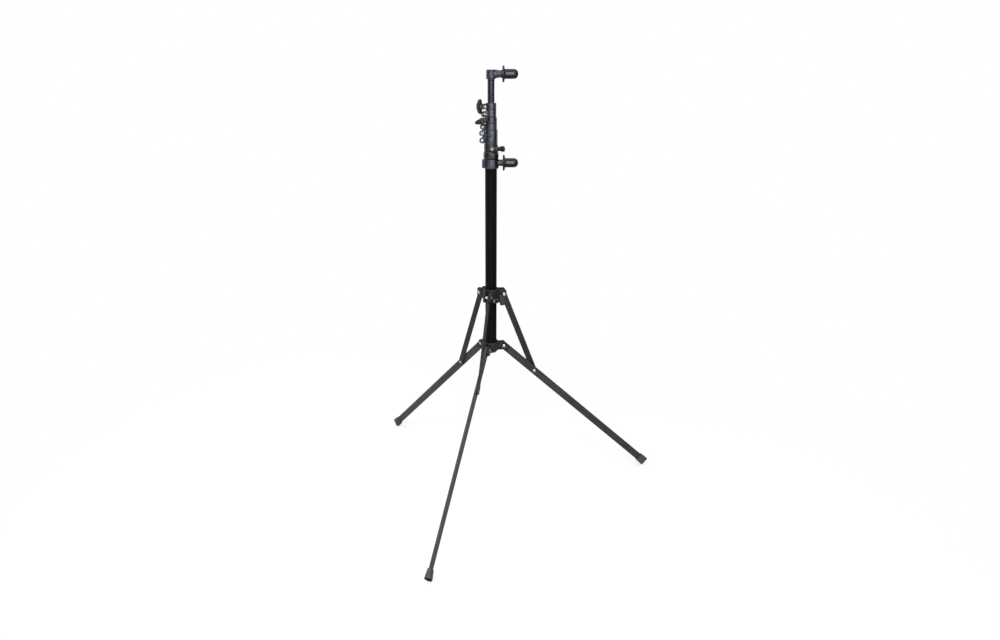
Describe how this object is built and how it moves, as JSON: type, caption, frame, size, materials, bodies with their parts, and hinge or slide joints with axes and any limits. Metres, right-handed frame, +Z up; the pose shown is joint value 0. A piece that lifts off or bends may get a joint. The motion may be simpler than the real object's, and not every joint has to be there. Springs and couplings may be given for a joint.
{
  "type": "background stand",
  "caption": "Reverse-folding tripod stand with telescoping column, clamp collars and flanged pegs for a collapsible photo background",
  "frame": {"origin": "on the floor at the middle of the three feet, under the column's axis", "axes": "+Z up along the column, +X along the two pegs, the right leg points 12 degrees from +X towards +Y"},
  "size_m": [0.6426, 0.6608, 0.9147],
  "materials": {
    "tube_black": "black anodised, matt",
    "tube_graphite": "graphite grey anodised, satin",
    "casting_graphite": "graphite grey paint on die casting, satin",
    "collar_black": "black glass-filled nylon, fine grain",
    "leg_paint": "dark grey powder coat, satin",
    "knob_black": "black moulded plastic, satin",
    "peg_black": "black moulded plastic, glossy",
    "sleeve_black": "black nylon",
    "foot_rubber": "dark grey rubber, matt",
    "rivet_chrome": "bright nickel plating",
    "screw_steel": "zinc-plated steel"
  },
  "bodies": {
    "column": {"outer_tube": "tube_black", "base_collar": "collar_black", "base_plug": "sleeve_black", "leg_hinge_rivets": "rivet_chrome", "clamp_4_body": "casting_graphite", "clamp_4_fixing_screw": "screw_steel", "clamp_4_dome_nut": "rivet_chrome"},
    "section_4": {"tube_4": "tube_black", "guide_sleeve_4": "sleeve_black", "clamp_3_body": "casting_graphite", "clamp_3_fixing_screw": "screw_steel", "clamp_3_dome_nut": "rivet_chrome"},
    "section_3": {"tube_3": "tube_black", "guide_sleeve_3": "sleeve_black", "clamp_2_body": "casting_graphite", "clamp_2_fixing_screw": "screw_steel", "clamp_2_dome_nut": "rivet_chrome"},
    "section_2": {"tube_2": "tube_black", "guide_sleeve_2": "sleeve_black", "clamp_1_body": "casting_graphite", "clamp_1_fixing_screw": "screw_steel", "clamp_1_dome_nut": "rivet_chrome"},
    "section_1": {"tube_1": "tube_graphite", "guide_sleeve_1": "sleeve_black"},
    "knob_4": {"clamp_4_knob": "knob_black", "clamp_4_stud": "screw_steel"},
    "knob_3": {"clamp_3_knob": "knob_black", "clamp_3_stud": "screw_steel"},
    "knob_2": {"clamp_2_knob": "knob_black", "clamp_2_stud": "screw_steel"},
    "knob_1": {"clamp_1_knob": "knob_black", "clamp_1_stud": "screw_steel"},
    "top_arm": {"top_adapter": "casting_graphite", "set_screw": "screw_steel", "upper_spool": "casting_graphite", "upper_peg": "peg_black", "upper_peg_core": "screw_steel"},
    "lower_arm": {"peg_collar": "casting_graphite", "peg_collar_screw": "screw_steel", "lower_peg": "peg_black", "lower_peg_core": "screw_steel"},
    "leg_collar": {"leg_collar": "collar_black", "leg_collar_nut": "rivet_chrome", "strut_top_rivets": "rivet_chrome", "strut_spacers": "rivet_chrome"},
    "collar_knob": {"leg_collar_knob": "knob_black", "leg_collar_stud": "screw_steel"},
    "leg_right": {"leg_right": "leg_paint", "foot_right": "foot_rubber", "leg_strut_rivet_right": "rivet_chrome"},
    "strut_right": {"strut_right": "leg_paint"},
    "leg_left": {"leg_left": "leg_paint", "foot_left": "foot_rubber", "leg_strut_rivet_left": "rivet_chrome"},
    "strut_left": {"strut_left": "leg_paint"},
    "leg_front": {"leg_front": "leg_paint", "foot_front": "foot_rubber", "leg_strut_rivet_front": "rivet_chrome"},
    "strut_front": {"strut_front": "leg_paint"}
  },
  "joints": [
    {"name": "section_4_slide", "type": "slide", "parent": "column", "child": "section_4", "axis": [0, 0, 1], "range_m": [0, 0.33]},
    {"name": "section_3_slide", "type": "slide", "parent": "section_4", "child": "section_3", "axis": [0, 0, 1], "range_m": [0, 0.33]},
    {"name": "section_2_slide", "type": "slide", "parent": "section_3", "child": "section_2", "axis": [0, 0, 1], "range_m": [0, 0.33]},
    {"name": "section_1_slide", "type": "slide", "parent": "section_2", "child": "section_1", "axis": [0, 0, 1], "range_m": [-0.025, 0.33]},
    {"name": "clamp_4_knob_turn", "type": "hinge", "parent": "column", "child": "knob_4", "pos_m": [0.00684, -0.01879, 0.75768], "axis": [0.9397, 0.342, 0], "range_deg": [0, 360]},
    {"name": "clamp_3_knob_turn", "type": "hinge", "parent": "section_4", "child": "knob_3", "pos_m": [-0.01719, 0.00461, 0.78648], "axis": [0.2588, 0.9659, 0], "range_deg": [0, 360]},
    {"name": "clamp_2_knob_turn", "type": "hinge", "parent": "section_3", "child": "knob_2", "pos_m": [-0.018, 0, 0.81098], "axis": [0, -1, 0], "range_deg": [0, 360]},
    {"name": "clamp_1_knob_turn", "type": "hinge", "parent": "section_2", "child": "knob_1", "pos_m": [-0.01417, -0.01189, 0.83778], "axis": [-0.6428, 0.766, 0], "range_deg": [0, 360]},
    {"name": "top_arm_swivel", "type": "hinge", "parent": "section_1", "child": "top_arm", "pos_m": [0, 0, 0.88898], "axis": [0, 0, 1], "range_deg": [-180, 180]},
    {"name": "lower_arm_swivel", "type": "hinge", "parent": "column", "child": "lower_arm", "pos_m": [0, 0, 0.71878], "axis": [0, 0, 1], "range_deg": [-180, 180]},
    {"name": "leg_collar_slide", "type": "slide", "parent": "column", "child": "leg_collar", "axis": [0, 0, 1], "range_m": [0, 0.17699]},
    {"name": "leg_collar_knob_turn", "type": "hinge", "parent": "leg_collar", "child": "collar_knob", "pos_m": [0.00992, -0.02725, 0.44738], "axis": [0.9397, 0.342, 0], "range_deg": [0, 360]},
    {"name": "leg_right_fold", "type": "hinge", "parent": "column", "child": "leg_right", "pos_m": [0.0269, 0.00572, 0.33598], "axis": [0.2079, -0.9781, 0], "range_deg": [0, 127.11]},
    {"name": "strut_right_fold", "type": "hinge", "parent": "leg_right", "child": "strut_right", "pos_m": [0.09668, 0.02055, 0.26922], "axis": [-0.2079, 0.9781, 0], "range_deg": [0, 145.32]},
    {"name": "leg_left_fold", "type": "hinge", "parent": "column", "child": "leg_left", "pos_m": [-0.0184, 0.02044, 0.33598], "axis": [0.7431, 0.6691, 0], "range_deg": [0, 127.11]},
    {"name": "strut_left_fold", "type": "hinge", "parent": "leg_left", "child": "strut_left", "pos_m": [-0.06613, 0.07345, 0.26922], "axis": [-0.7431, -0.6691, 0], "range_deg": [0, 145.32]},
    {"name": "leg_front_fold", "type": "hinge", "parent": "column", "child": "leg_front", "pos_m": [-0.0085, -0.02615, 0.33598], "axis": [-0.9511, 0.309, 0], "range_deg": [0, 127.11]},
    {"name": "strut_front_fold", "type": "hinge", "parent": "leg_front", "child": "strut_front", "pos_m": [-0.03054, -0.094, 0.26922], "axis": [0.9511, -0.309, 0], "range_deg": [0, 145.32]}
  ],
  "couplings": [
    {"joint": "leg_right_fold", "follows": "leg_collar_slide", "rad_per_m": 12.534},
    {"joint": "strut_right_fold", "follows": "leg_collar_slide", "rad_per_m": 14.329},
    {"joint": "leg_left_fold", "follows": "leg_collar_slide", "rad_per_m": 12.534},
    {"joint": "strut_left_fold", "follows": "leg_collar_slide", "rad_per_m": 14.329},
    {"joint": "leg_front_fold", "follows": "leg_collar_slide", "rad_per_m": 12.534},
    {"joint": "strut_front_fold", "follows": "leg_collar_slide", "rad_per_m": 14.329}
  ]
}
